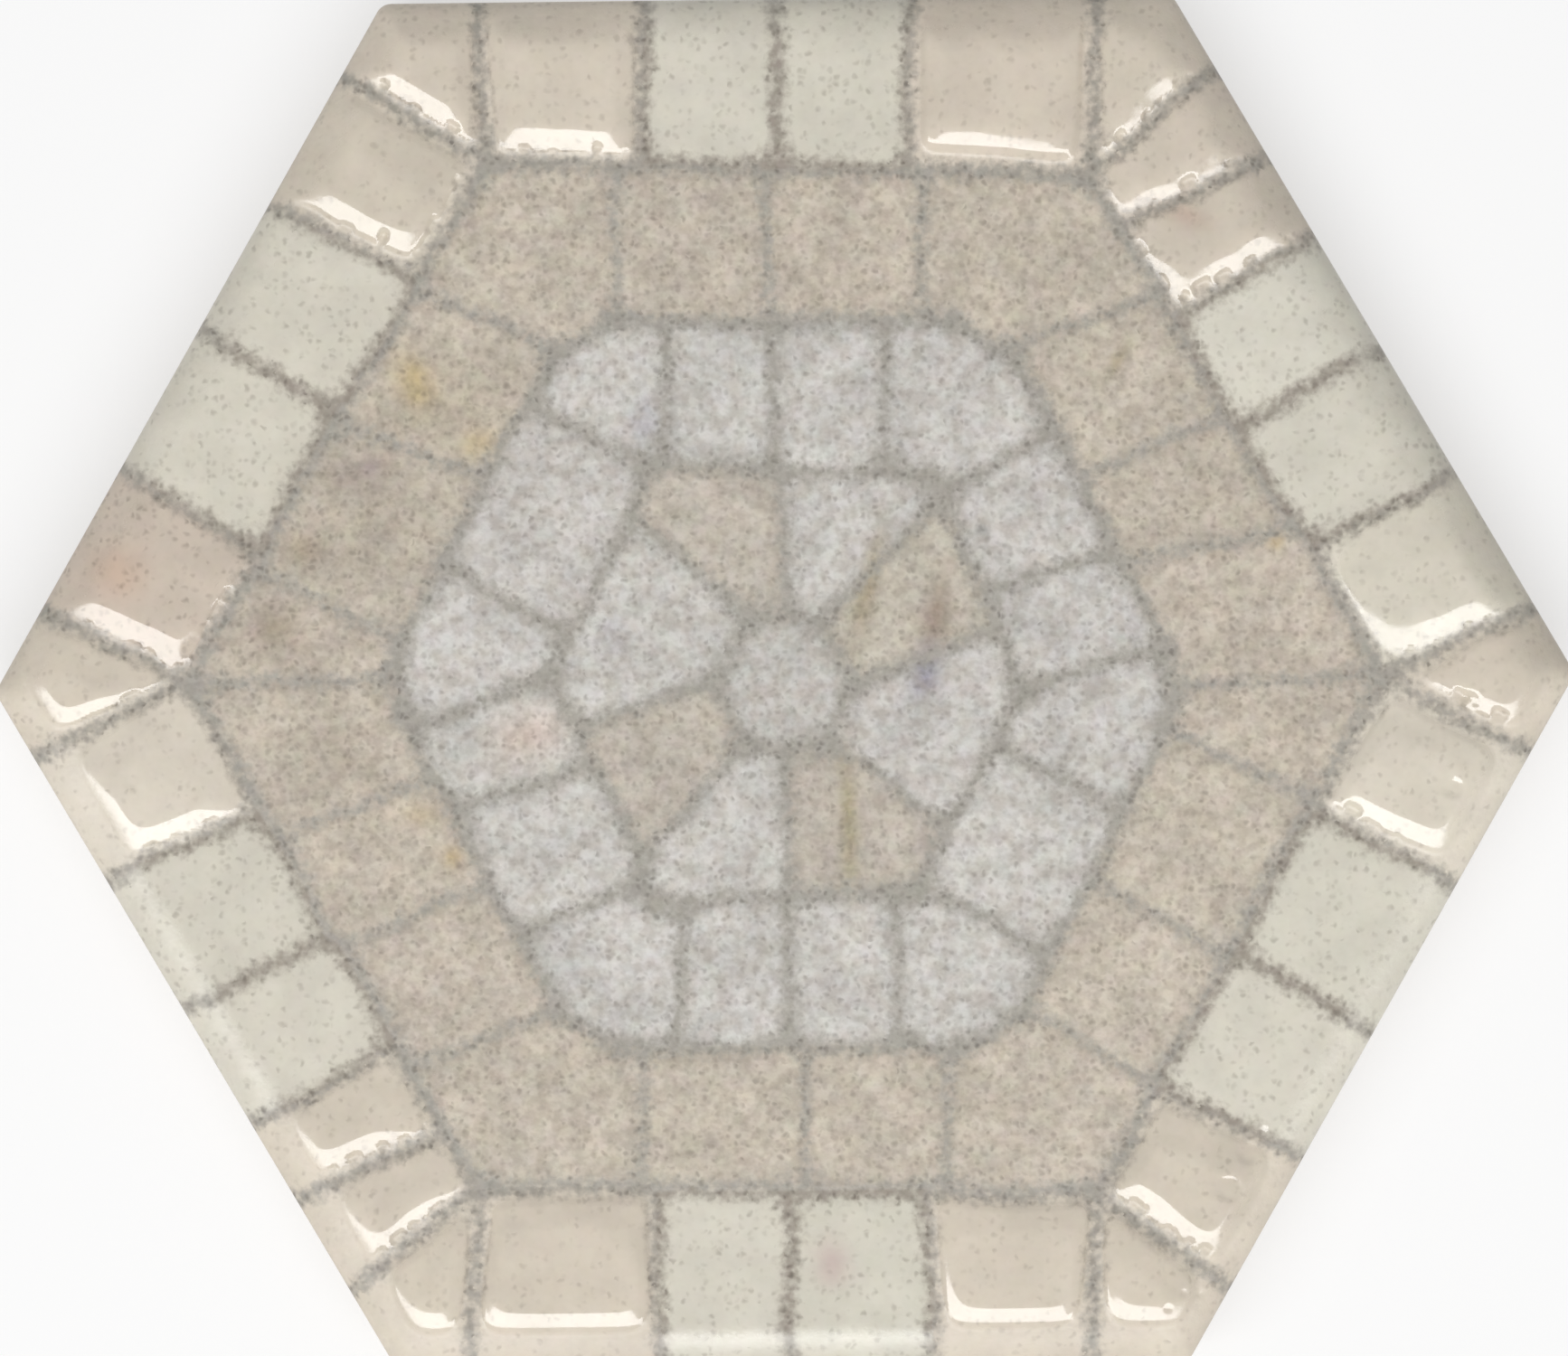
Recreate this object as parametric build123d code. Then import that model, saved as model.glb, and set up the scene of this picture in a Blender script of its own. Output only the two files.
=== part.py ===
"""Hexagonal decorative tile, pressed and fired in one piece.

The face is flat and falls away to the wall in a wide, shallow rounding, a cushion edge. A band along the
rim is divided into mosaic stones: the two stones in the middle of each side lie flush with the face, and
the others stand proud of it as thick glaze. The back has shallow keying grooves for the adhesive bed.

Frame: millimetres, origin at the middle of the back, +Z out of the face, +X through two corners,
+Y through the middle of the top side.
"""

import os
from math import cos, pi, radians, sin, sqrt, tan

from build123d import *

# Tile body
across_flats = 100.0
face_height = 8.0
corner_radius = 1.2
rim_width = 3.6
rim_drop = 1.8
straight_wall = 3.5
wall_draft = 4.0

# Keying grooves in the back
groove_pitch = 12.0
groove_width = 6.0
groove_depth = 0.8
groove_border = 6.0
groove_draft = 20.0

# Mosaic band along the rim
band_width = 12.6
joint_width = 1.4
glaze_height = 0.9
glaze_draft = 60.0
stone_corner_radius = 0.9
glaze_to_rim = 0.2

# Each side of the band runs clockwise, seen from the face, and its joints are shares of half a side:
# where the joint meets the inner line of the band, then where it meets the rim.
band_sides = {
    90: [(-0.47, -0.34), (0.01, 0.00), (0.43, 0.33)],
    30: [(-0.76, -0.53), (-0.42, -0.28), (0.03, 0.04), (0.49, 0.40)],
    330: [(-0.55, -0.42), (0.04, 0.03), (0.53, 0.38)],
    270: [(-0.47, -0.36), (-0.01, -0.01), (0.44, 0.33)],
    210: [(-0.73, -0.50), (-0.40, -0.27), (0.03, 0.06), (0.50, 0.41)],
    150: [(-0.49, -0.36), (0.07, 0.06), (0.65, 0.43)],
}
corner_joint = (1.0, 0.775)

half_flats = across_flats / 2
half_corners = across_flats / sqrt(3)
band_line = half_flats - band_width
draft_height = face_height - straight_wall
back_flats = half_flats - draft_height * tan(radians(wall_draft))


def sharp_hexagon(apothem):
    """Hexagon with a flat side at the top."""
    return RegularPolygon(radius=apothem, side_count=6, major_radius=False)


def tile_section():
    """Section across two opposite sides: drafted wall, straight wall, rounded rim and flat face."""
    rim_start = face_height - rim_drop
    face_edge = half_flats - rim_width
    right_rim = EllipticalCenterArc((face_edge, rim_start), rim_width, rim_drop, start_angle=0, arc_size=90)
    left_rim = EllipticalCenterArc((-face_edge, rim_start), rim_width, rim_drop, start_angle=90, arc_size=90)
    right_wall = Polyline((back_flats, 0), (half_flats, draft_height), (half_flats, rim_start))
    left_wall = Polyline((-half_flats, rim_start), (-half_flats, draft_height), (-back_flats, 0))
    face_line = Line((face_edge, face_height), (-face_edge, face_height))
    back_line = Line((-back_flats, 0), (back_flats, 0))
    return make_face([*right_wall.edges(), right_rim, face_line, left_rim, *left_wall.edges(), back_line])


def tile_blank():
    """The same section across all three pairs of sides, mitred at the corners, which are then rounded."""
    bar = extrude(Plane.XZ * tile_section(), amount=half_corners, both=True)
    rounded = fillet(sharp_hexagon(half_flats).vertices(), radius=corner_radius)
    blank = extrude(rounded, amount=face_height)
    for angle in (30, 90, 150):
        blank = blank & Rot(0, 0, angle) * bar
    return blank


def keying_grooves():
    """Parallel slots either side of the middle land, each as long as the hexagon is wide there."""
    field_flats = back_flats - groove_border
    field_corners = field_flats * 2 / sqrt(3)
    grooves = []
    centre_line = groove_pitch / 2
    while centre_line + groove_width / 2 <= field_flats:
        half_length = field_corners - (centre_line + groove_width / 2) / sqrt(3)
        for y in (centre_line, -centre_line):
            slot = Pos(0, y) * SlotOverall(2 * half_length, groove_width)
            grooves.append(extrude(slot, amount=groove_depth, taper=groove_draft))
        centre_line += groove_pitch
    return grooves


def on_side(normal_angle, apothem, share):
    """Point at a share of half a side, on the hexagon of that apothem."""
    angle = radians(normal_angle)
    along = share * apothem * tan(pi / 6)
    return Vector(
        apothem * cos(angle) + along * sin(angle),
        apothem * sin(angle) - along * cos(angle),
    )


def joint_line(normal_angle, joint):
    """Ends of a joint, on the inner line of the band and on the rim."""
    at_line, at_rim = joint
    return on_side(normal_angle, band_line, at_line), on_side(normal_angle, half_flats, at_rim)


def raised_outlines():
    """Outlines between neighbouring joints that stand proud, before the joints are taken off them."""
    outlines = []
    angles = list(band_sides)
    for angle, next_angle in zip(angles, angles[1:] + angles[:1]):
        first = (-corner_joint[0], -corner_joint[1])
        joints = [first, *band_sides[angle], corner_joint]
        middle = min(joints, key=lambda joint: abs(joint[0]))
        for joint, following in zip(joints, joints[1:]):
            if middle not in (joint, following):
                inner, outer = joint_line(angle, joint)
                next_inner, next_outer = joint_line(angle, following)
                outlines.append([inner, outer, next_outer, next_inner])
        inner, outer = joint_line(angle, corner_joint)
        corner = on_side(angle, half_flats, 1.0)
        _, next_outer = joint_line(next_angle, first)
        outlines.append([inner, outer, corner, next_outer])
    return outlines


def raised_stones():
    """Thick glaze on the proud stones, with sloping edges, kept clear of the joints and the rim."""
    face_field = sharp_hexagon(half_flats - rim_width - glaze_to_rim)
    stones = []
    for outline in raised_outlines():
        stone = offset(Polygon(*outline, align=None), amount=-joint_width / 2) & face_field
        stone = fillet(stone.vertices(), radius=stone_corner_radius)
        seat = Pos(0, 0, face_height) * stone
        stones.append(extrude(seat, amount=glaze_height, dir=(0, 0, 1), taper=glaze_draft))
    return stones


tile = tile_blank() - keying_grooves()
tile = tile + raised_stones()

os.makedirs("parts", exist_ok=True)
export_step(tile, "parts/hexagonal_tile.step")
print("volume", round(tile.volume), "solids", len(tile.solids()), "box", tile.bounding_box().size)
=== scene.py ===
import math

import bpy
import numpy as np
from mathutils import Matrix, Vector
from mathutils.geometry import delaunay_2d_cdt


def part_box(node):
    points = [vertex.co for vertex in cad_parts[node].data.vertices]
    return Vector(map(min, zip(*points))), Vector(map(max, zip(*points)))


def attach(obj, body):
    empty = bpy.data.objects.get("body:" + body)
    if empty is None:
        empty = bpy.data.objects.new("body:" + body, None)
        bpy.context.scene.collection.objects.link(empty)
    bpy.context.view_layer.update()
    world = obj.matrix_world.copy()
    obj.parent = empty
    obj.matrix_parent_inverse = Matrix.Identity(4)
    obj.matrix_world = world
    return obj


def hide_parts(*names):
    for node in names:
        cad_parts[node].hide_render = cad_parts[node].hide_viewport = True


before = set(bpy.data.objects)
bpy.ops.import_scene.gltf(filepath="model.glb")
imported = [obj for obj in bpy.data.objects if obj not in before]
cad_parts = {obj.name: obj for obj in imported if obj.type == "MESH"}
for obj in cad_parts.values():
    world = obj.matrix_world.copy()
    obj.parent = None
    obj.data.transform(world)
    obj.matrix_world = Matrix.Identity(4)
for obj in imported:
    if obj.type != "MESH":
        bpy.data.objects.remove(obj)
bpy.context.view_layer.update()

# The mosaic
# The face is decorated as a mosaic of cut stones: rings of stones round a small middle stone, with
# joints between them. It is printed in the glaze, so each stone is an outline on the flat face.
# Corners run clockwise from the top left one, in millimetres, and each side runs to the next corner.
MM = 0.001
tile_low, tile_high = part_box("hexagonal_tile")
half_flats = (tile_high.y - tile_low.y) / 2 / MM
half_corners = half_flats * 2 / math.sqrt(3)
rim_corners = [
    (half_corners * math.cos(math.radians(angle)), half_corners * math.sin(math.radians(angle)))
    for angle in (120, 60, 0, -60, -120, 180)
]
band_corners = [(-21.4, 38.2), (22.6, 36.9), (43.6, 0.1), (22.4, -37.4), (-22.8, -36.4), (-43.6, 0.6)]
field_corners = [(-15.4, 26.6), (15.8, 26.2), (29.4, -0.6), (15.6, -26.6), (-15.4, -26.4), (-29.2, 0.6)]
core_corners = [(-9.3, 15.9), (10.9, 15.3), (17.4, -0.6), (9.4, -15.2), (-9.4, -15.6), (-17.2, 0.8)]
middle_corners = [(-2.4, 4.6), (2.6, 4.5), (4.9, -0.2), (2.6, -4.5), (-2.6, -4.5), (-5.0, 0.3)]

# Joints of each ring, side by side: the share of the side at its outer line, then at its inner line.
band_joints = [
    [(0.122, 0.0), (0.329, 0.257), (0.498, 0.484), (0.668, 0.702), (0.905, 1.0)],
    [(0.109, 0.0), (0.238, 0.108), (0.356, 0.285), (0.524, 0.507), (0.703, 0.752), (0.902, 1.0)],
    [(0.112, 0.0), (0.309, 0.255), (0.524, 0.524), (0.703, 0.794), (0.891, 1.0)],
    [(0.121, 0.0), (0.327, 0.274), (0.503, 0.500), (0.666, 0.708), (0.904, 1.0)],
    [(0.119, 0.0), (0.251, 0.116), (0.363, 0.278), (0.535, 0.498), (0.722, 0.752), (0.898, 1.0)],
    [(0.119, 0.0), (0.325, 0.247), (0.529, 0.510), (0.703, 0.783), (0.897, 1.0)],
]
field_joints = [
    [(0.216, 0.112), (0.466, 0.465), (0.723, 0.827)],
    [(0.238, 0.070), (0.483, 0.427), (0.703, 0.663)],
    [(0.0, 0.0), (0.239, 0.119), (0.550, 0.537), (0.791, 0.888)],
    [(0.243, 0.135), (0.469, 0.465), (0.735, 0.852)],
    [(0.236, 0.106), (0.474, 0.452), (0.691, 0.743)],
    [(0.0, 0.0), (0.217, 0.105), (0.499, 0.568), (0.760, 0.922)],
]
inner_joints = [
    [(0.221, 0.040), (0.478, 0.436), (0.734, 0.832)],
    [(0.293, 0.106), (0.630, 0.559), (0.887, 0.994)],
    [(0.357, 0.269), (0.752, 0.964)],
    [(0.245, 0.074), (0.503, 0.500), (0.777, 0.894)],
    [(0.307, 0.094), (0.650, 0.597), (0.858, 1.0)],
    [(0.320, 0.188), (0.776, 0.976)],
]
core_joints = [
    [(0.460, 0.560)],
    [(0.118, 0.0), (0.720, 1.0)],
    [(0.690, 0.850)],
    [(0.495, 0.500)],
    [(0.155, 0.100), (0.760, 1.0)],
    [(0.770, 1.0)],
]
shortest_edge = 0.05


def along(corners, side, share):
    """Point at a share of one side of a ring line."""
    start = np.array(corners[side])
    end = np.array(corners[(side + 1) % len(corners)])
    return start + (end - start) * share


def ring_stones(outer, inner, joints, outer_cut=0.0, inner_cut=0.0, reach=1.0):
    """Edges of each stone in a ring: where each starts and ends, and whether a joint runs along it.

    A stone at a corner goes round the cut corner. The reach draws the outer line further out."""
    laid = [(side, *joint) for side, side_joints in enumerate(joints) for joint in side_joints]
    stones = []
    for (side, out_share, in_share), (next_side, next_out, next_in) in zip(laid, laid[1:] + laid[:1]):
        outer_line = [along(outer, side, out_share), along(outer, next_side, next_out)]
        inner_line = [along(inner, side, in_share), along(inner, next_side, next_in)]
        if side != next_side:
            outer_line[1:1] = [along(outer, side, 1 - outer_cut), along(outer, next_side, outer_cut)]
            inner_line[1:1] = [along(inner, side, 1 - inner_cut), along(inner, next_side, inner_cut)]
        outer_line = [near + (far - near) * reach for near, far in zip(inner_line, outer_line)]
        outline = outer_line + inner_line[::-1]
        joint_edges = (len(outer_line) - 1, len(outline) - 1)
        stones.append([
            (start, end, number in joint_edges)
            for number, (start, end) in enumerate(zip(outline, outline[1:] + outline[:1]))
            if np.hypot(*(end - start)) > shortest_edge
        ])
    return stones


def srgb(red, green, blue):
    """Colour written as display values, 0 to 255, in linear light."""
    values = np.array([red, green, blue]) / 255
    return np.where(values > 0.04045, ((values + 0.055) / 1.055) ** 2.4, values / 12.92)


# Kinds of stone: colour, whether thick glaze stands on it, gloss, share of the printed dots that it
# shows, half the width of the ring lines and of the joints along it, and the rounding of its corners.
cream = srgb(220, 215, 200)
raised_stone = {"tint": srgb(219, 208, 191), "raised": True, "gloss": 1.0, "speckle": 0.42,
                "line": 0.62, "joint": 0.54, "rounding": 0.35}
flush_stone = {"tint": cream, "raised": False, "gloss": 1.0, "speckle": 0.54,
               "line": 0.62, "joint": 0.54, "rounding": 0.55}
field_stone = {"tint": srgb(211, 200, 183), "raised": False, "gloss": 0.0, "speckle": 0.85,
               "line": 0.58, "joint": 0.38, "rounding": 0.45}
blue_grey_stone = {"tint": srgb(216, 213, 207), "raised": False, "gloss": 0.0, "speckle": 0.80,
                   "line": 0.52, "joint": 0.50, "rounding": 0.65}
beige_core_stone = {**blue_grey_stone, "tint": srgb(204, 195, 181)}
middle_stone = {**blue_grey_stone, "tint": srgb(206, 203, 197),
                "line": 0.40, "joint": 0.40, "rounding": 0.6}

# Stones that differ from their kind, by number. The band has 0 to 31 and the core starts at 68.
odd_stones = {
    7: {"tint": srgb(225, 221, 206)},
    9: {"tint": srgb(221, 214, 198)},
    11: {"tint": srgb(225, 216, 200)},
    25: {"tint": srgb(225, 216, 200)},
    27: {"tint": srgb(212, 198, 182), "speckle": 0.60},
    28: {"rounding": 0.9},
    69: {"tint": srgb(210, 202, 186)},
}

# Thick glaze on the raised stones of the band, by number: how far its foot keeps in from the printed
# edge, the width of its steep foot, the width of its slope, and the usual gap between bubbles.
thick_glaze = {
    0: (0.05, 0.20, 1.4, 2.4),
    3: (0.30, 0.60, 1.15, 0.0),
    4: (-0.10, 0.10, 2.1, 3.0),
    5: (-0.20, 0.10, 1.8, 2.2),
    6: (-0.25, 0.10, 1.75, 1.5),
    9: (-0.30, 0.10, 1.5, 1.7),
    10: (0.20, 0.30, 0.9, 2.2),
    11: (0.20, 0.30, 1.1, 1.8),
    14: (0.10, 0.20, 1.3, 1.8),
    15: (0.05, 0.30, 0.75, 0.0),
    16: (0.05, 0.30, 0.75, 0.0),
    19: (0.05, 0.30, 0.75, 3.0),
    20: (0.05, 0.30, 0.75, 0.0),
    21: (-0.10, 0.10, 1.3, 1.9),
    22: (-0.10, 0.10, 1.4, 1.7),
    25: (-0.10, 0.10, 1.4, 1.8),
    26: (0.00, 0.20, 1.1, 2.6),
    27: (-0.20, 0.10, 1.5, 1.6),
    30: (0.25, 0.35, 1.25, 2.2),
    31: (-0.10, 0.20, 1.3, 2.0),
}

past_rim = 1.35
band_cut = 0.02
field_cut = 0.10
mosaic = []
for place, edges in enumerate(ring_stones(rim_corners, band_corners, band_joints, reach=past_rim)):
    mosaic.append({"edges": edges, **(raised_stone if place in thick_glaze else flush_stone)})
for edges in ring_stones(band_corners, field_corners, field_joints, band_cut, field_cut):
    mosaic.append({"edges": edges, **field_stone})
for edges in ring_stones(field_corners, core_corners, inner_joints, field_cut):
    mosaic.append({"edges": edges, **blue_grey_stone})
for place, edges in enumerate(ring_stones(core_corners, middle_corners, core_joints)):
    mosaic.append({"edges": edges, **(beige_core_stone if place % 2 else blue_grey_stone)})
middle_ends = [np.array(corner) for corner in middle_corners]
middle_edges = [(start, end, False) for start, end in zip(middle_ends, middle_ends[1:] + middle_ends[:1])]
mosaic.append({"edges": middle_edges, **middle_stone})
for number, changes in odd_stones.items():
    mosaic[number].update(changes)

# The face
# Pressed clay body under a clear glaze. The stones near the corners carry a thick coat of it, which
# stands proud with a soft crest and a ragged foot. The rim falls away in a wide, shallow rounding.
corner_radius = 1.2
rim_width = 3.6
rim_drop = 1.8
glaze_height = 0.9
face_height = tile_high.z / MM - glaze_height
side_angles = np.radians([90, 30, -30, -90, -150, 150])
side_normals = np.stack([np.cos(side_angles), np.sin(side_angles)], 1)
corner_turn = math.radians(60)
mitre_rounding = 0.25

# The thick glaze stops short of the lower sides of the rim, and thins out slowly towards the others.
low_sides = [2, 3, 4]
low_margins = np.array([1.7, 2.65, 2.3])
low_steepness = np.array([1.35, 0.745, 1.15])
low_rounding = 0.4
high_sides = [0, 1, 5]
high_margin = 0.3
high_ramp = 4.2


def rounded_least(distances, rounding):
    """Smallest distance in each row, rounded off where two are alike."""
    return -np.log(np.exp(-distances / rounding).sum(1)) * rounding


def rim_distance(points):
    """Distance in from the outline of the tile, rounded off where two sides meet."""
    return rounded_least(half_flats - points @ side_normals.T, mitre_rounding)


def rim_foot(points):
    """Distance in from the foot of the thick glaze at the lower sides of the rim."""
    from_sides = half_flats - points @ side_normals[low_sides].T
    return rounded_least((from_sides - low_margins) * low_steepness, low_rounding)


def rim_ramp(points):
    """Height to which the thick glaze can rise near the other sides."""
    from_sides = half_flats - points @ side_normals[high_sides].T - high_margin
    share = np.clip(from_sides / high_ramp, 0, 1)
    return glaze_height * (share**2 * (3 - 2 * share)).min(1)


def inside(points, outline):
    """Whether each point lies in the outline."""
    crossings = np.zeros(len(points), int)
    for (ax, ay), (bx, by) in zip(outline, np.roll(outline, -1, 0)):
        spans = (ay > points[:, 1]) != (by > points[:, 1])
        crossing_x = (bx - ax) * (points[:, 1] - ay) / (by - ay if by != ay else 1) + ax
        crossings += spans & (points[:, 0] < crossing_x)
    return crossings % 2 == 1


def edge_distance(points, stone, rounding, margin=0.0, steepness=None):
    """Distance in from the printed edge of a stone, rounded off where two edges meet.

    The steepness, by the way an edge faces, makes the distance from it count for more or less."""
    total = np.zeros(len(points))
    for start, end, is_joint in stone["edges"]:
        run = end - start
        share = np.clip((points - start) @ run / (run @ run), 0, 1)
        gap = points - start - share[:, None] * run
        distance = np.hypot(gap[:, 0], gap[:, 1]) - stone["joint" if is_joint else "line"] - margin
        if steepness:
            distance = distance * steepness(math.atan2(run[0], -run[1]))
        total += np.exp(-distance / rounding)
    return -np.log(total) * rounding


# The slope of the thick glaze mirrors the strip light all along the lower edges, so it is steeper where
# an edge slants away from the light. The edges beside the light and behind it have slopes of their own.
slope_degrees = 18.5
light_facing = math.radians(-102)
light_slope = 0.625
beside_light = math.radians(60)
behind_light = math.radians(120)
beside_steepness = 1.25
behind_steepness = 0.55


def glaze_steepness(facing):
    """How steep the thick glaze is on an edge, by the way it faces, as a multiple of the usual slope."""
    aside = facing - light_facing
    aside = abs(math.atan2(math.sin(aside), math.cos(aside)))
    if aside > behind_light:
        return behind_steepness
    if aside > beside_light:
        return beside_steepness
    mirror_angle = 0.5 * math.atan(light_slope / math.cos(aside))
    return math.tan(mirror_angle) / math.tan(math.radians(slope_degrees))


drift_grid = 64
drift_gain = 1.3


def drift(points, wave, layer):
    """Smooth random value over the face, about -1 to 1, that changes within each wavelength.

    It blends the random slopes at the corners of a grid of such squares."""
    turns = np.random.default_rng(layer).uniform(0, 2 * math.pi, (drift_grid, drift_grid))
    square = np.floor(points / wave).astype(int)
    part = points / wave - square
    ease = part**3 * (part * (part * 6 - 15) + 10)
    total = np.zeros(len(points))
    for right in (0, 1):
        for up in (0, 1):
            turn = turns[(square[:, 0] + right) % drift_grid, (square[:, 1] + up) % drift_grid]
            slope = np.cos(turn) * (part[:, 0] - right) + np.sin(turn) * (part[:, 1] - up)
            total += slope * np.abs(1 - right - ease[:, 0]) * np.abs(1 - up - ease[:, 1])
    return drift_gain * total


cut_sway = 0.42
cut_wave = 6.2
nick_wave = 1.7
print_nicks = 0.20
glaze_nicks = 0.04


def waver(points, nicks):
    """Points shifted a little, so that hand-cut edges aren't straight. The nicks are the short waves."""
    shift = [cut_sway * drift(points, cut_wave, axis) + nicks * drift(points, nick_wave, axis + 2)
             for axis in (0, 1)]
    return points + np.stack(shift, 1)


off_the_stones = -1.0


def lay_out(points):
    """For each point the stone it lies in and its distance in from that stone's printed edge."""
    moved = waver(points, print_nicks)
    stone_numbers = np.zeros(len(points), int)
    distances = np.full(len(points), off_the_stones)
    for number, stone in enumerate(mosaic):
        found = inside(moved, np.array([start for start, _, _ in stone["edges"]]))
        stone_numbers[found] = number
        distances[found] = edge_distance(moved[found], stone, stone["rounding"])
    return stone_numbers, distances


# The points of the face lie close together on the slopes of the thick glaze and near the rim, and
# further apart elsewhere. Rings of points, by their turn round the section of the rim, follow its edge.
fine_spacing = 0.21
coarse_spacing = 0.55
fine_clearance = 1.7
coarse_clearance = rim_width + 0.2
fine_margin = 0.1
coarse_margin = 0.25
slope_zone = 3.3
past_corners = half_flats * 1.2
points_per_side = 110
points_per_corner = 5
rim_turns = np.radians([34, 38, 43, 48, 54, 60, 67, 75, 83, 90])
raised_stones = [number for number, stone in enumerate(mosaic) if stone["raised"]]


def lattice(spacing):
    """Even points over the face, in staggered rows."""
    rows = np.arange(-half_flats, half_flats, spacing * math.sqrt(3) / 2)
    columns = np.arange(-past_corners, past_corners, spacing)
    x, y = np.meshgrid(columns, rows)
    x[1::2] += spacing / 2
    return np.stack([x.ravel(), y.ravel()], 1)


def on_slope(points, margin):
    """Whether each point lies on a slope of the thick glaze, or outside it by less than a margin."""
    stone_numbers, distances = lay_out(points)
    near_foot = np.minimum(distances, rim_foot(points)) < slope_zone
    return np.isin(stone_numbers, raised_stones) & (distances > -margin) & near_foot


def rim_ring(inset):
    """Points round the tile's outline at an inset."""
    core = half_flats - corner_radius - inset
    centres, outward = [], []
    for angle, normal in zip(side_angles, side_normals):
        run = np.array([normal[1], -normal[0]])
        for share in np.linspace(-1, 1, points_per_side):
            centres.append(normal * core + run * share * core / math.sqrt(3))
            outward.append(normal)
        for step in range(1, points_per_corner + 1):
            turned = angle - corner_turn * step / (points_per_corner + 1)
            centres.append(centres[-1])
            outward.append(np.array([math.cos(turned), math.sin(turned)]))
    return np.array(centres) + np.array(outward) * corner_radius


fine = lattice(fine_spacing)
fine = fine[rim_distance(fine) > fine_clearance]
fine = fine[on_slope(fine, fine_margin) | (rim_distance(fine) < rim_width)]
coarse = lattice(coarse_spacing)
coarse = coarse[rim_distance(coarse) > coarse_clearance]
coarse = coarse[~on_slope(coarse, coarse_margin)]
rim_insets = rim_width * (1 - np.sin(rim_turns))
rim_rings = [rim_ring(inset) for inset in rim_insets]
ring_size = len(rim_rings[0])
face_points = np.concatenate([*rim_rings, fine, coarse])

owner, depth = lay_out(face_points)
to_rim = rim_distance(face_points)
to_rim[: ring_size * len(rim_turns)] = np.repeat(rim_insets, ring_size)


def soft_least(first, second, sharpness):
    """Smaller of two values, blended where they are close."""
    return -np.logaddexp(-sharpness * first, -sharpness * second) / sharpness


# Section of the thick glaze: a steep foot, an even slope and a crest that levels out.
foot_degrees = [38.0, 36.0]
crest_degrees = 3.0
foot_bend = 0.08
crest_bend = 0.3
crest_width = 0.9
section_steps = 260
usual_rounding = 0.4
round_pads = {9: 1.4}

# Its foot sways in long and short waves, and may run a little past the printed edge.
foot_sway = 0.25
foot_wave = 7.1
ripple_wave = 2.9
ripple_share = 0.3
past_print = 0.5
foot_sharpness = 1.3
ramp_sharpness = 12

# Bubbles bite scallops into its lower edges: deepest, as shares of the slope, where the edge is level.
seed = np.random.default_rng(7)
lower_edge = 0.3
level_edge = 0.8
level_bite = 0.35
slanting_bite = 0.20
first_bubble = (0.2, 1.0)
bubble_sizes = (0.12, 0.27)
bubble_arches = (0, 0.5)
gap_spread = (0.6, 1.5)
bite_slope = 2.1
bite_floor = 0.03

lift = np.zeros(len(face_points))
for number in raised_stones:
    stone = mosaic[number]
    margin, foot_width, slope_width, bubble_gap = thick_glaze[number]
    crest = foot_width + slope_width
    bends = [0, foot_width, foot_width + foot_bend, crest, crest + crest_bend, crest + crest_width]
    bend_degrees = [*foot_degrees, slope_degrees, slope_degrees, crest_degrees, 0.0]
    steps = np.linspace(0, bends[-1], section_steps)
    steepness = np.tan(np.radians(np.interp(steps, bends, bend_degrees)))
    rise = np.concatenate([[0], np.cumsum((steepness[1:] + steepness[:-1]) / 2 * np.diff(steps))])

    mine = np.flatnonzero(owner == number)
    pad_points = face_points[mine]
    pad_rounding = round_pads.get(number, usual_rounding)
    foot = edge_distance(waver(pad_points, glaze_nicks), stone, pad_rounding, margin, glaze_steepness)
    sway = drift(pad_points, foot_wave, layer=4) + ripple_share * drift(pad_points, ripple_wave, layer=5)
    foot = np.minimum(foot - foot_sway * sway, depth[mine] + past_print)
    foot = soft_least(foot, rim_foot(pad_points), foot_sharpness)
    pad_height = soft_least(np.interp(foot, steps, rise), rim_ramp(pad_points), ramp_sharpness)
    for start, end, _ in stone["edges"]:
        run = end - start
        length = np.hypot(*run)
        inward = np.array([run[1], -run[0]]) / length
        if bubble_gap == 0 or inward[1] < lower_edge:
            continue
        bite = level_bite if inward[1] > level_edge else slanting_bite
        deepest = foot_width + bite * slope_width
        along_edge = seed.uniform(*first_bubble)
        while along_edge < length:
            bubble_size = seed.uniform(*bubble_sizes)
            half_arch = seed.uniform(*bubble_arches)
            tip = start + run * along_edge / length
            tip = tip + inward * (stone["joint"] + margin + seed.uniform(0, deepest))
            from_tip = pad_points - tip
            beside = np.maximum(np.abs(from_tip @ run / length) - half_arch, 0)
            gap = np.hypot(beside, np.maximum(from_tip @ inward, 0)) - bubble_size
            pad_height = np.minimum(pad_height, np.maximum(gap, 0) * bite_slope + bite_floor)
            along_edge += bubble_gap * seed.uniform(*gap_spread) + half_arch
    lift[mine] = np.clip(pad_height, 0, glaze_height) * (foot > 0)

# Bubbles that burst in the thick glaze near the right and lower right corners: place and radius.
burst_bubbles = [
    (33.3, -34.7, 0.9), (31.9, -37.2, 1.1), (34.4, -33.1, 0.6),
    (28.5, -44.8, 0.4), (29.7, -44.9, 0.4), (27.4, -45.9, 0.35),
    (49.9, -1.9, 0.8), (48.6, -8.2, 0.9),
]
bubble_depth = 0.15
bubble_wall = 0.45
pits = np.zeros(len(face_points))
for x, y, radius in burst_bubbles:
    from_wall = radius - np.hypot(*(face_points - (x, y)).T)
    pits += bubble_depth * np.clip(from_wall / bubble_wall, 0, 1)
lift -= pits

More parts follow.
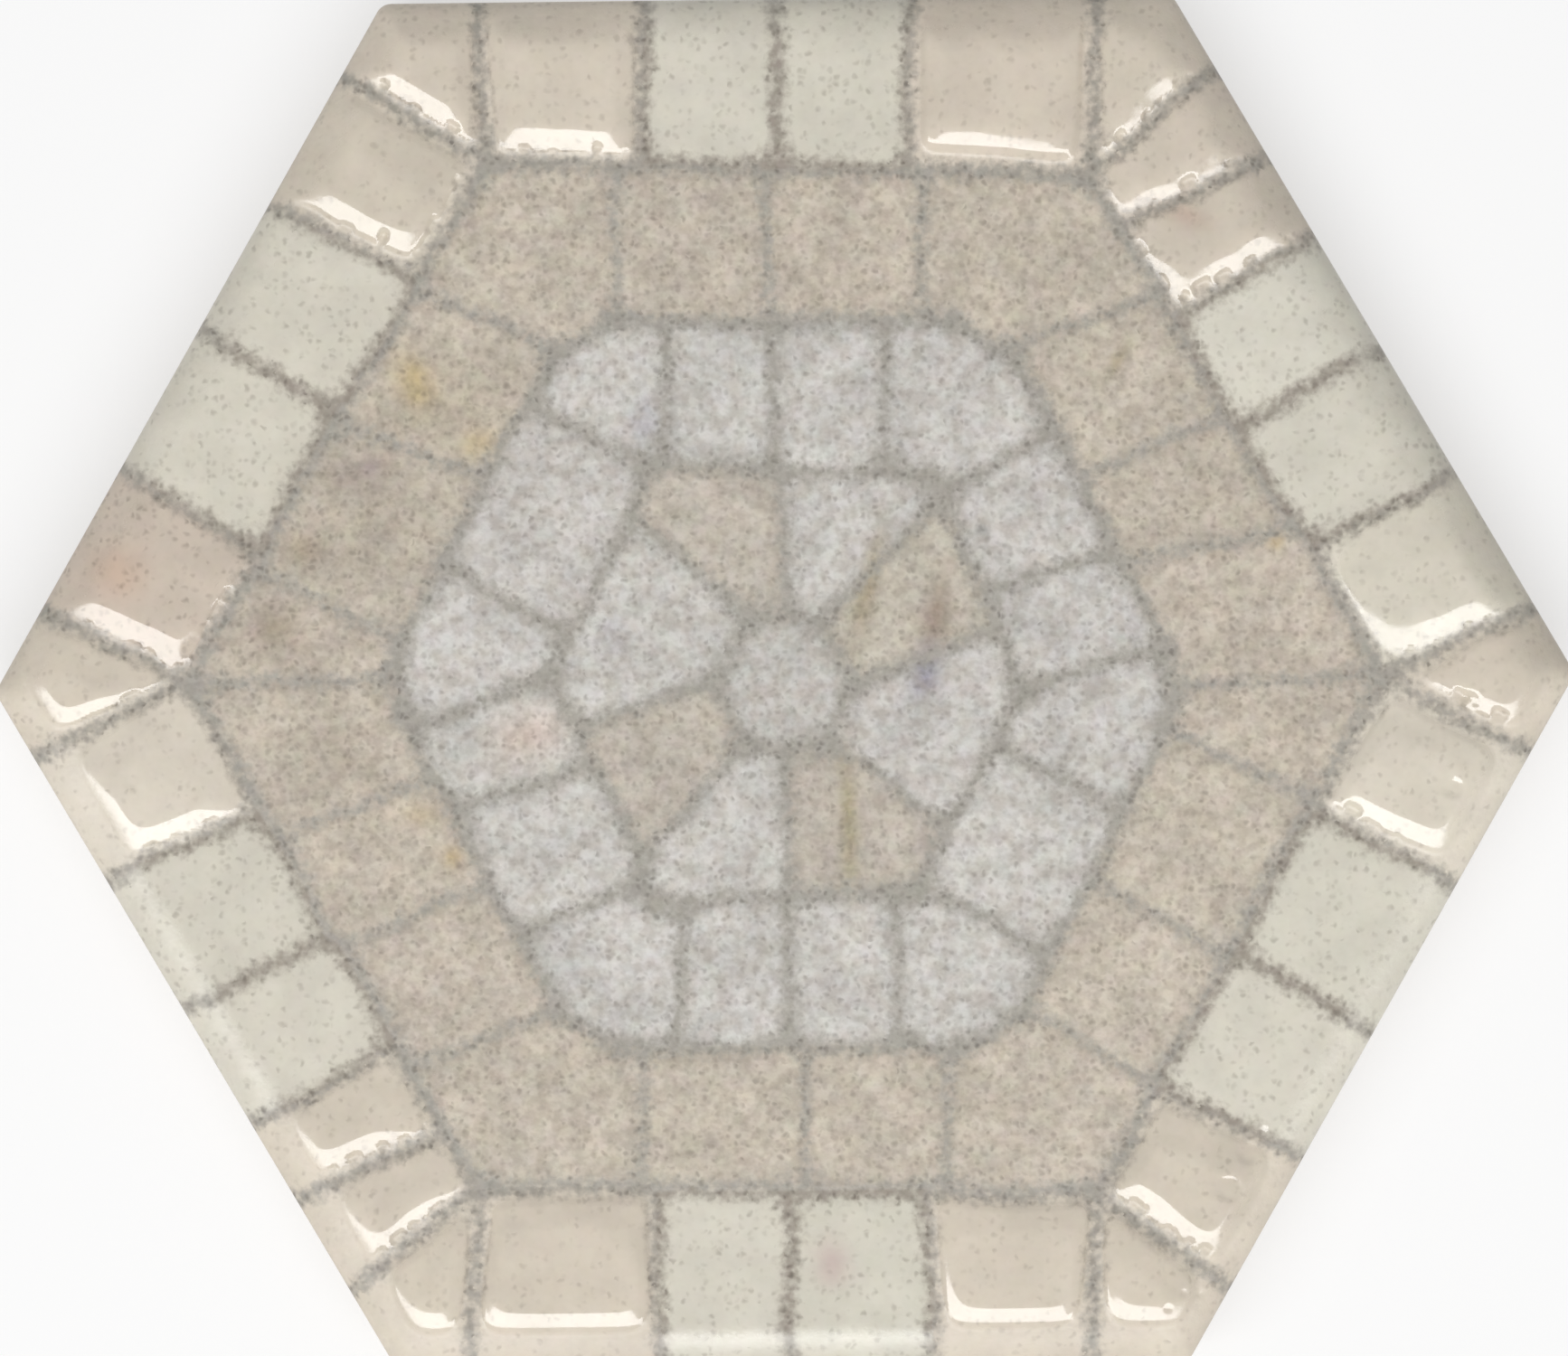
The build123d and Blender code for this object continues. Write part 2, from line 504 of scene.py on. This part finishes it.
# The joints lie a little lower than the stones and level out towards the rim.
joint_depth = 0.06
joint_shoulder = 0.5
joint_end = 2.5
sunken = np.clip(0.5 - depth / joint_shoulder, 0, 1) ** 2
settle = joint_depth * sunken * np.clip(to_rim - joint_end, 0, 1)
over = np.clip(1 - to_rim / rim_width, 0, 1)
face_z = face_height + lift - settle - rim_drop * (1 - np.sqrt(1 - over**2))

# The back
# Bare clay with keying grooves for the adhesive. The walls stand straight under the rim, then draw in
# a little towards the back so that the tile leaves its mould.
straight_wall = 3.5
wall_draft = math.radians(4)
under_rim = 0.9
groove_pitch = 12.0
groove_width = 6.0
groove_depth = 0.8
groove_border = 6.0
groove_draft = math.radians(20)
groove_taper = groove_depth * math.tan(groove_draft)
back_edge = 0.25
points_per_end = 10

draft_height = face_height - straight_wall
draw_in = draft_height * math.tan(wall_draft)
wall_levels = [
    (0.0, face_height - rim_drop - under_rim),
    (0.0, draft_height),
    (draw_in - back_edge * math.tan(wall_draft), back_edge),
    (draw_in + back_edge, 0.0),
]


def slot_outline(half_length, half_width):
    """Long slot with round ends."""
    turn = np.linspace(-math.pi / 2, math.pi / 2, points_per_end)
    right = np.stack([half_length - half_width + half_width * np.cos(turn), half_width * np.sin(turn)], 1)
    return np.concatenate([right, -right])


slots = []
groove_flats = half_flats - draw_in - groove_border
centre_line = groove_pitch / 2
while centre_line + groove_width / 2 <= groove_flats:
    half_length = groove_flats * 2 / math.sqrt(3) - (centre_line + groove_width / 2) / math.sqrt(3)
    slots += [(centre_line, half_length), (-centre_line, half_length)]
    centre_line += groove_pitch

bow = 1e-6
merge_distance = 1e-7
all_triangles = 0


def triangulate(points, edges=()):
    """Triangles over points, as lists of their numbers, facing up.

    The points are bowed out a little first, so that none along a straight side make an empty triangle."""
    bowed = points * (1 - bow * (points**2).sum(1))[:, None]
    corners = [Vector(point) for point in bowed]
    found = delaunay_2d_cdt(corners, list(edges), [], all_triangles, merge_distance)
    _, _, triangles, sources, _, _ = found
    numbers = [source[0] for source in sources]
    return [[numbers[i] for i in triangle] for triangle in triangles]


def band_between(upper, lower):
    """Four-sided faces between two closed rings of points."""
    following = [*range(1, len(upper)), 0]
    return [[upper[i], upper[j], lower[j], lower[i]] for i, j in enumerate(following)]


# The whole tile is one closed skin: the face, the wall in rings down to the back, and the back round
# the mouths of its grooves, with their sides and floors.
vertices = [np.column_stack([face_points, face_z])]
face_loops = triangulate(face_points)
wall_loops, back_loops = [], []
above = list(range(ring_size * (len(rim_turns) - 1), ring_size * len(rim_turns)))
count = len(face_points)
for inset, level in wall_levels:
    ring = rim_ring(inset)
    vertices.append(np.column_stack([ring, np.full(ring_size, level)]))
    below = list(range(count, count + ring_size))
    count += ring_size
    wall_loops += band_between(above, below)
    above = below

back_points = [ring]
back_numbers = list(above)
back_edges = []
mouths = []
for middle, half_length in slots:
    mouth = slot_outline(half_length, groove_width / 2) + (0, middle)
    groove_floor = slot_outline(half_length - groove_taper, groove_width / 2 - groove_taper) + (0, middle)
    slot_size = len(mouth)
    first = len(back_numbers)
    back_edges += [(first + i, first + (i + 1) % slot_size) for i in range(slot_size)]
    mouth_numbers = list(range(count, count + slot_size))
    floor_numbers = list(range(count + slot_size, count + 2 * slot_size))
    count += 2 * slot_size
    vertices.append(np.column_stack([mouth, np.zeros(slot_size)]))
    vertices.append(np.column_stack([groove_floor, np.full(slot_size, groove_depth)]))
    back_loops += band_between(floor_numbers, mouth_numbers)
    back_loops.append(floor_numbers[::-1])
    back_points.append(mouth)
    back_numbers += mouth_numbers
    mouths.append(mouth)
back_points = np.concatenate(back_points)
for triangle in triangulate(back_points, back_edges):
    centre = back_points[triangle].mean(0)[None]
    if not any(inside(centre, mouth)[0] for mouth in mouths):
        back_loops.append([back_numbers[i] for i in triangle[::-1]])

sharp_angle = math.radians(66)
mesh = bpy.data.meshes.new("glazed_tile")
mesh.from_pydata(np.concatenate(vertices) * MM, [], face_loops + wall_loops + back_loops)
material_numbers = [0] * len(face_loops) + [1] * (len(wall_loops) + len(back_loops))
mesh.polygons.foreach_set("material_index", material_numbers)
mesh.polygons.foreach_set("use_smooth", [True] * len(mesh.polygons))
mesh.set_sharp_from_angle(angle=sharp_angle)
tile = bpy.data.objects.new("glazed_tile", mesh)
bpy.context.collection.objects.link(tile)

# The glaze
# Glass fired on to the face, with the mosaic printed in it. Each stone is a little warmer or cooler than
# the next, and some have the stains of natural stone: place, half lengths, turn, colour and strength.
stains = [
    ((-31.0, 12.0), (5.0, 4.0), 0, (176, 165, 146), 0.45),
    ((-25.0, 20.5), (5.0, 4.0), 0, (188, 175, 150), 0.45),
    ((-36.5, 3.0), (4.0, 3.0), 0, (174, 162, 144), 0.45),
    ((-33.5, -5.5), (4.0, 4.0), 0, (180, 168, 150), 0.35),
    ((-26.7, 22.2), (1.3, 2.0), 25, (212, 186, 118), 0.75),
    ((-22.1, 17.8), (1.3, 0.9), 30, (212, 188, 122), 0.65),
    ((-30.5, 15.8), (2.6, 1.3), 10, (164, 144, 140), 0.60),
    ((-34.8, 10.0), (1.4, 1.5), 0, (166, 146, 122), 0.65),
    ((-37.3, 4.6), (1.9, 1.4), -30, (166, 148, 126), 0.65),
    ((6.2, 7.2), (0.8, 4.6), -14, (178, 162, 124), 0.75),
    ((11.1, 4.6), (1.1, 3.4), -12, (146, 122, 106), 0.85),
    ((10.3, 0.6), (1.1, 2.0), -10, (160, 157, 172), 0.85),
    ((4.5, -9.8), (0.7, 6.0), 2, (178, 164, 126), 0.85),
    ((14.5, 10.9), (0.45, 0.45), 0, (120, 116, 116), 0.85),
    ((-18.7, -3.6), (2.9, 1.9), 20, (228, 208, 194), 0.85),
    ((2.9, -42.3), (1.4, 1.9), 0, (198, 178, 172), 0.75),
    ((35.9, 9.9), (0.6, 0.6), 0, (206, 176, 120), 0.75),
    ((-24.4, -12.4), (0.8, 0.8), 0, (206, 178, 124), 0.70),
    ((-26.8, -9.2), (1.4, 0.9), 0, (206, 184, 140), 0.55),
    ((24.5, 23.2), (0.5, 1.8), -30, (166, 150, 114), 0.75),
    ((29.5, 33.8), (1.9, 0.9), -25, (204, 178, 162), 0.65),
    ((-48.4, 8.6), (2.3, 2.2), 0, (204, 172, 150), 0.60),
    ((-12.4, 3.4), (1.2, 1.6), -20, (186, 180, 190), 0.50),
    ((-9.7, 18.9), (1.4, 2.0), 0, (182, 180, 192), 0.55),
]
stain_fade = 1.1
shade_spread = 0.010
hue_spread = 0.0025
stone_shade = (1 + seed.normal(0, shade_spread, (len(mosaic), 1))
               + seed.normal(0, hue_spread, (len(mosaic), 3)))
stone_tints = np.array([stone["tint"] for stone in mosaic]) * stone_shade
tint = stone_tints[owner]
for (x, y), (half_x, half_y), turn, colour, strength in stains:
    angle = math.radians(turn)
    gap = face_points - (x, y)
    across = (gap[:, 0] * math.cos(angle) + gap[:, 1] * math.sin(angle)) / half_x
    up = (gap[:, 1] * math.cos(angle) - gap[:, 0] * math.sin(angle)) / half_y
    share = strength * np.exp(-stain_fade * (across**2 + up**2))[:, None]
    tint = tint * (1 - share) + srgb(*colour) * share

# Near the rim, by side clockwise from the top one: the glaze runs thin there and loses gloss, and the
# tint is darkened with painted shade where light falls off over the rounded rim.
painted_rim_shade = np.array([0.04, 0.16, 0.0, 0.08, 0.04, 0.04])
painted_shade_reach = 1.2
side_wear = np.array([0.65, 0.65, 0.72, 0.60, 0.90, 0.65])
wear_slope = 1.5
side_blend = 0.5
side_share = np.exp(-(half_flats - face_points @ side_normals.T) / side_blend)
side_share /= side_share.sum(1, keepdims=True)
# Painted shade: the tint darkens towards the rim, by side, in place of the fall of light over the
# rounding.
painted_shade = side_share @ painted_rim_shade * np.clip(painted_shade_reach - to_rim / rim_width, 0, 1)
tint = tint * (1 - painted_shade[:, None])
rim_wear = 1 - side_share @ side_wear * np.clip(wear_slope - wear_slope * to_rim / rim_width, 0, 1)

# The raised stones are glossy where the coat is thick, and in the burst bubbles too, but not at its foot.
full_coat = 0.12
bare_foot = 0.4
bubble_gloss = 3
foot_gloss = 0.35
flush_gloss = 0.92
coat = np.clip((lift + bubble_gloss * pits) / full_coat - bare_foot, 0, 1)
coat_gloss = np.where(np.isin(owner, raised_stones), foot_gloss + (1 - foot_gloss) * coat, flush_gloss)
shine = np.array([stone["gloss"] for stone in mosaic])[owner] * rim_wear * coat_gloss
dot_share = np.array([stone["speckle"] for stone in mosaic])[owner]
edge_range = 3


def store(name, values, kind="FLOAT", key="value"):
    """Keeps a value for each point of the tile."""
    full = np.zeros((len(mesh.vertices), values.shape[1]))
    full[: len(face_points)] = values
    mesh.attributes.new(name, kind, "POINT").data.foreach_set(key, full.ravel())


store("tint", np.column_stack([tint, np.ones(len(tint))]), "FLOAT_COLOR", "color")
store("edge", np.clip(depth, -edge_range, edge_range)[:, None])
store("gloss", shine[:, None])
store("speckle", dot_share[:, None])


class Shader:
    """One node material, with its nodes made and joined by what they do."""

    def __init__(self, name):
        self.material = bpy.data.materials.new(name)
        self.material.use_nodes = True
        self.nodes = self.material.node_tree.nodes
        self.links = self.material.node_tree.links
        self.surface = self.nodes["Principled BSDF"]

    def node(self, kind, inputs=(), **settings):
        made = self.nodes.new(kind)
        for key, value in settings.items():
            setattr(made, key, value)
        for key, value in dict(inputs).items():
            self.feed(made.inputs[key], value)
        return made

    def feed(self, socket, value):
        if isinstance(value, bpy.types.NodeSocket):
            self.links.new(value, socket)
        else:
            socket.default_value = value

    def attribute(self, name, output):
        return self.node("ShaderNodeAttribute", attribute_name=name).outputs[output]

    def spot(self):
        """Place on the tile in millimetres."""
        metres = self.node("ShaderNodeTexCoord").outputs["Object"]
        per_metre = (1 / MM, 1 / MM, 1 / MM)
        scaled = self.node("ShaderNodeVectorMath", {0: metres, 1: per_metre}, operation="MULTIPLY")
        return scaled.outputs[0]

    def maths(self, operation, first, second=0.0, third=0.0):
        inputs = {0: first, 1: second}
        if operation == "MULTIPLY_ADD":
            inputs[2] = third
        return self.node("ShaderNodeMath", inputs, operation=operation).outputs[0]

    def step(self, value, low, high, to_low=0.0, to_high=1.0):
        """Smooth change from one value to another while the first value goes from low to high."""
        inputs = {"Value": value, "From Min": low, "From Max": high, "To Min": to_low, "To Max": to_high}
        return self.node("ShaderNodeMapRange", inputs, interpolation_type="SMOOTHSTEP").outputs["Result"]

    def cloud(self, spot, scale, detail=2.0, output="Fac"):
        inputs = {"Vector": spot, "Scale": scale, "Detail": detail}
        return self.node("ShaderNodeTexNoise", inputs).outputs[output]

    def grey(self, value):
        return self.node("ShaderNodeCombineColor", {0: value, 1: value, 2: value}).outputs[0]

    def mix(self, share, first, second, blend="MIX"):
        """Mix of two colours, which are the node's inputs 6 and 7 and its output 2."""
        made = self.node("ShaderNodeMix", data_type="RGBA", blend_type=blend)
        self.feed(made.inputs[0], share)
        self.feed(made.inputs[6], first)
        self.feed(made.inputs[7], second)
        return made.outputs[2]


glaze = Shader("mosaic_glaze")
spot = glaze.spot()
gloss = glaze.attribute("gloss", "Fac")
speckle = glaze.attribute("speckle", "Fac")

# Ragged printed edge between stone and joint.
raggedness = 1.9
edge_start, edge_end = -0.70, 0.60
ragged = glaze.maths("SUBTRACT", glaze.cloud(spot, scale=1.5, detail=3.0), 0.5)
printed_edge = glaze.maths("MULTIPLY_ADD", ragged, raggedness, glaze.attribute("edge", "Fac"))
in_stone = glaze.step(printed_edge, edge_start, edge_end)
few_dots, many_dots = 0.6, 0.8


def by_finish(glossy, matte):
    """Value for the glossy stones, which show few dots, and for the matte ones, which show many."""
    return glaze.step(speckle, few_dots, many_dots, glossy, matte)


def by_print(joint, stone):
    """Value for the joints and for the stones."""
    return glaze.step(in_stone, 0.0, 1.0, joint, stone)


# Stone colour with soft warm and cool clouds, and grey joints.
mottle_brown = (*srgb(176, 162, 147), 1)
matte_joint = (*srgb(168, 163, 153), 1)
glossy_joint = (*srgb(167, 158, 146), 1)
joint_clouding = 0.06
warm_and_cool = glaze.cloud(spot, scale=0.7, detail=3.0, output="Color")
clouding = by_finish(glossy=0.07, matte=0.16)
cloudy = glaze.mix(clouding, glaze.attribute("tint", "Color"), warm_and_cool, "SOFT_LIGHT")
broad_cloud = glaze.cloud(spot, scale=0.28, detail=3.0)
broad_shadow = by_finish(glossy=0.97, matte=0.88)
broad = glaze.step(broad_cloud, low=0.3, high=0.7, to_low=broad_shadow, to_high=1.06)
mottle_cloud = glaze.cloud(spot, scale=0.75, detail=1.5)
mottle_strength = by_finish(glossy=0.04, matte=0.36)
mottle = glaze.step(mottle_cloud, low=0.38, high=0.68, to_low=0.0, to_high=mottle_strength)
mottled = glaze.mix(mottle, cloudy, mottle_brown)
stone_colour = glaze.mix(1.0, mottled, glaze.grey(broad), "MULTIPLY")
joint_base = glaze.mix(gloss, matte_joint, glossy_joint)
joint_cloud = glaze.cloud(spot, scale=0.8, output="Color")
joint_colour = glaze.mix(joint_clouding, joint_base, joint_cloud, "SOFT_LIGHT")
printed = glaze.mix(in_stone, joint_colour, stone_colour)

# Printed dots, dense on the matte stones and the joints and sparse on the glossy ones.
dot_shade = (0.42, 0.40, 0.385, 1)
dots_per_mm = 1.75
dot_bend = (0.6, 0.6, 0.6)
joint_dots = 0.90
joint_dot_strength = 1.35
sparse, dense = 0.38, 0.72
jitter = glaze.cloud(spot, scale=1.6, detail=1.0, output="Color")
bent = glaze.node("ShaderNodeVectorMath", {0: jitter, 1: dot_bend, 2: spot}, operation="MULTIPLY_ADD")
dots = glaze.node("ShaderNodeTexVoronoi", {
    "Vector": bent.outputs[0], "Scale": dots_per_mm, "Randomness": 1.0})
dot = glaze.step(dots.outputs["Distance"], low=0.06, high=0.60, to_low=1.0, to_high=0.0)
chance = glaze.node("ShaderNodeSeparateColor", {0: dots.outputs["Color"]})
dot_limit = by_print(joint_dots, speckle)
shown = glaze.maths("LESS_THAN", chance.outputs[0], dot_limit)
faintest = glaze.step(dot_limit, sparse, dense, to_low=0.08, to_high=0.23)
strongest = glaze.step(dot_limit, sparse, dense, to_low=0.36, to_high=0.61)
dot_weight = glaze.step(chance.outputs[1], 0.0, 1.0, faintest, strongest)
dot_strength = glaze.maths("MULTIPLY", glaze.maths("MULTIPLY", dot, shown), dot_weight)
dot_strength = glaze.maths("MULTIPLY", dot_strength, by_print(joint_dot_strength, 1.0))
dark_dot = glaze.mix(1.0, printed, dot_shade, "MULTIPLY")
dotted = glaze.mix(dot_strength, printed, dark_dot)

# Short dark worms of grain between the dots.
grain_shade = (0.54, 0.52, 0.50, 1)
joint_worms = 0.28
stone_worms = by_finish(glossy=0.05, matte=0.34)
worms = glaze.step(glaze.cloud(spot, scale=1.7, detail=1.2), low=0.36, high=0.68)
worm_strength = glaze.maths("MULTIPLY", worms, by_print(joint_worms, stone_worms))
dark_grain = glaze.mix(1.0, printed, grain_shade, "MULTIPLY")
grained = glaze.mix(worm_strength, dotted, dark_grain)
glaze.feed(glaze.surface.inputs["Base Color"], grained)

# Smooth gloss near the rim, and a fine dry grain within.
matte_roughness = 0.62
gloss_effect = -0.52
sheen_spread = 0.03
sheen_cloud = glaze.cloud(spot, scale=2.5)
sheen = glaze.step(sheen_cloud, low=0.3, high=0.7, to_low=-sheen_spread, to_high=sheen_spread)
roughness = glaze.maths("MULTIPLY_ADD", gloss, gloss_effect, matte_roughness)
glaze.feed(glaze.surface.inputs["Roughness"], glaze.maths("ADD", roughness, sheen))
dryness = glaze.maths("SUBTRACT", 1.0, gloss)
dry_grain = glaze.maths("MULTIPLY", glaze.cloud(spot, scale=2.4), dryness)
bump = glaze.node("ShaderNodeBump", {"Height": dry_grain, "Distance": 0.00006, "Strength": 0.6})
glaze.feed(glaze.surface.inputs["Normal"], bump.outputs["Normal"])
glaze.feed(glaze.surface.inputs["Specular IOR Level"], 0.9)
mesh.materials.append(glaze.material)

# The bare clay
# Fired clay with a fine grit. The glaze runs part of the way down the wall and ends there in an uneven
# line. The rest of the wall and the back are bare.
light_clay = (*srgb(214, 199, 176), 1)
dark_clay = (*srgb(196, 178, 154), 1)
run_spread = 1.6
run_start, run_end = 5.0, 5.25
clay_roughness = 0.85
wall_glaze_roughness = 0.15
clay = Shader("bare_clay")
clay_spot = clay.spot()
level = clay.node("ShaderNodeSeparateXYZ", {0: clay_spot}).outputs["Z"]
run_edge = clay.maths("MULTIPLY_ADD", clay.cloud(clay_spot, scale=0.25, detail=3.0), run_spread, level)
glazed = clay.step(run_edge, run_start, run_end)
grit = clay.step(clay.cloud(clay_spot, scale=2.2, detail=3.0), low=0.35, high=0.7)
clay_colour = clay.mix(grit, dark_clay, light_clay)
clay.feed(clay.surface.inputs["Base Color"], clay.mix(glazed, clay_colour, (*cream, 1)))
wall_roughness = clay.step(glazed, 0.0, 1.0, clay_roughness, wall_glaze_roughness)
clay.feed(clay.surface.inputs["Roughness"], wall_roughness)
bare = clay.maths("SUBTRACT", 1.0, glazed)
rough_grain = clay.maths("MULTIPLY", clay.cloud(clay_spot, scale=2.0, detail=3.0), bare)
clay_bump = clay.node("ShaderNodeBump", {"Height": rough_grain, "Distance": 0.00012, "Strength": 0.7})
clay.feed(clay.surface.inputs["Normal"], clay_bump.outputs["Normal"])
mesh.materials.append(clay.material)

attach(tile, "root")
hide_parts("hexagonal_tile")

# The studio
# A pale floor under the tile, a long soft strip light on the near side and an even fill all round.
# The camera looks straight down with a long lens.
floor_half = 3.0
floor_white = (0.95, 0.95, 0.95, 1)
floor_roughness = 0.9
floor_glow = 0.55
floor_mesh = bpy.data.meshes.new("floor")
floor_mesh.from_pydata([(-floor_half, -floor_half, 0), (floor_half, -floor_half, 0),
                        (floor_half, floor_half, 0), (-floor_half, floor_half, 0)], [], [(0, 1, 2, 3)])
pale = Shader("pale_floor")
pale.feed(pale.surface.inputs["Base Color"], floor_white)
pale.feed(pale.surface.inputs["Roughness"], floor_roughness)
path = pale.node("ShaderNodeLightPath")
seen = pale.maths("MAXIMUM", path.outputs["Is Camera Ray"], path.outputs["Is Glossy Ray"])
seen = pale.maths("MAXIMUM", seen, path.outputs["Is Transmission Ray"])
white = pale.node("ShaderNodeEmission", {"Color": (1, 1, 1, 1), "Strength": 1.0})
glow = pale.maths("MULTIPLY", seen, floor_glow)
both = pale.node("ShaderNodeMixShader", {0: glow, 1: pale.surface.outputs[0], 2: white.outputs[0]})
pale.feed(pale.nodes["Material Output"].inputs["Surface"], both.outputs[0])
floor_mesh.materials.append(pale.material)
floor = bpy.data.objects.new("floor", floor_mesh)
bpy.context.collection.objects.link(floor)

strip_tilt = math.radians(32)
strip_turn = math.radians(-12)
strip_distance = 1.2
strip_light = bpy.data.lights.new("strip_light", "AREA")
strip_light.shape = "RECTANGLE"
strip_light.size = 2.2
strip_light.size_y = 0.42
strip_light.energy = 13.6
strip = bpy.data.objects.new("strip_light", strip_light)
strip_reach = strip_distance * math.sin(strip_tilt)
strip.location = (strip_reach * math.sin(strip_turn), -strip_reach * math.cos(strip_turn),
                  strip_distance * math.cos(strip_tilt))
strip.rotation_euler = (strip_tilt, 0, strip_turn)
bpy.context.collection.objects.link(strip)

fill_strength = 0.40
world = bpy.data.worlds.new("even_fill")
world.use_nodes = True
background = world.node_tree.nodes["Background"]
background.inputs["Color"].default_value = (1, 1, 1, 1)
background.inputs["Strength"].default_value = fill_strength
scene = bpy.context.scene
scene.world = world

lens = 200.0
sensor = 36.0
frame_width = 114.6
photo_middle = (-0.07, 0.37)
photo_roll = math.radians(0.69)
camera_data = bpy.data.cameras.new("camera")
camera_data.lens = lens
camera_data.sensor_width = sensor
camera_data.clip_end = 10.0
camera = bpy.data.objects.new("camera", camera_data)
camera.location = (photo_middle[0] * MM, photo_middle[1] * MM,
                   (face_height - rim_drop + frame_width * lens / sensor) * MM)
camera.rotation_euler = (0, 0, -photo_roll)
bpy.context.collection.objects.link(camera)
scene.camera = camera
scene.view_settings.view_transform = "Standard"
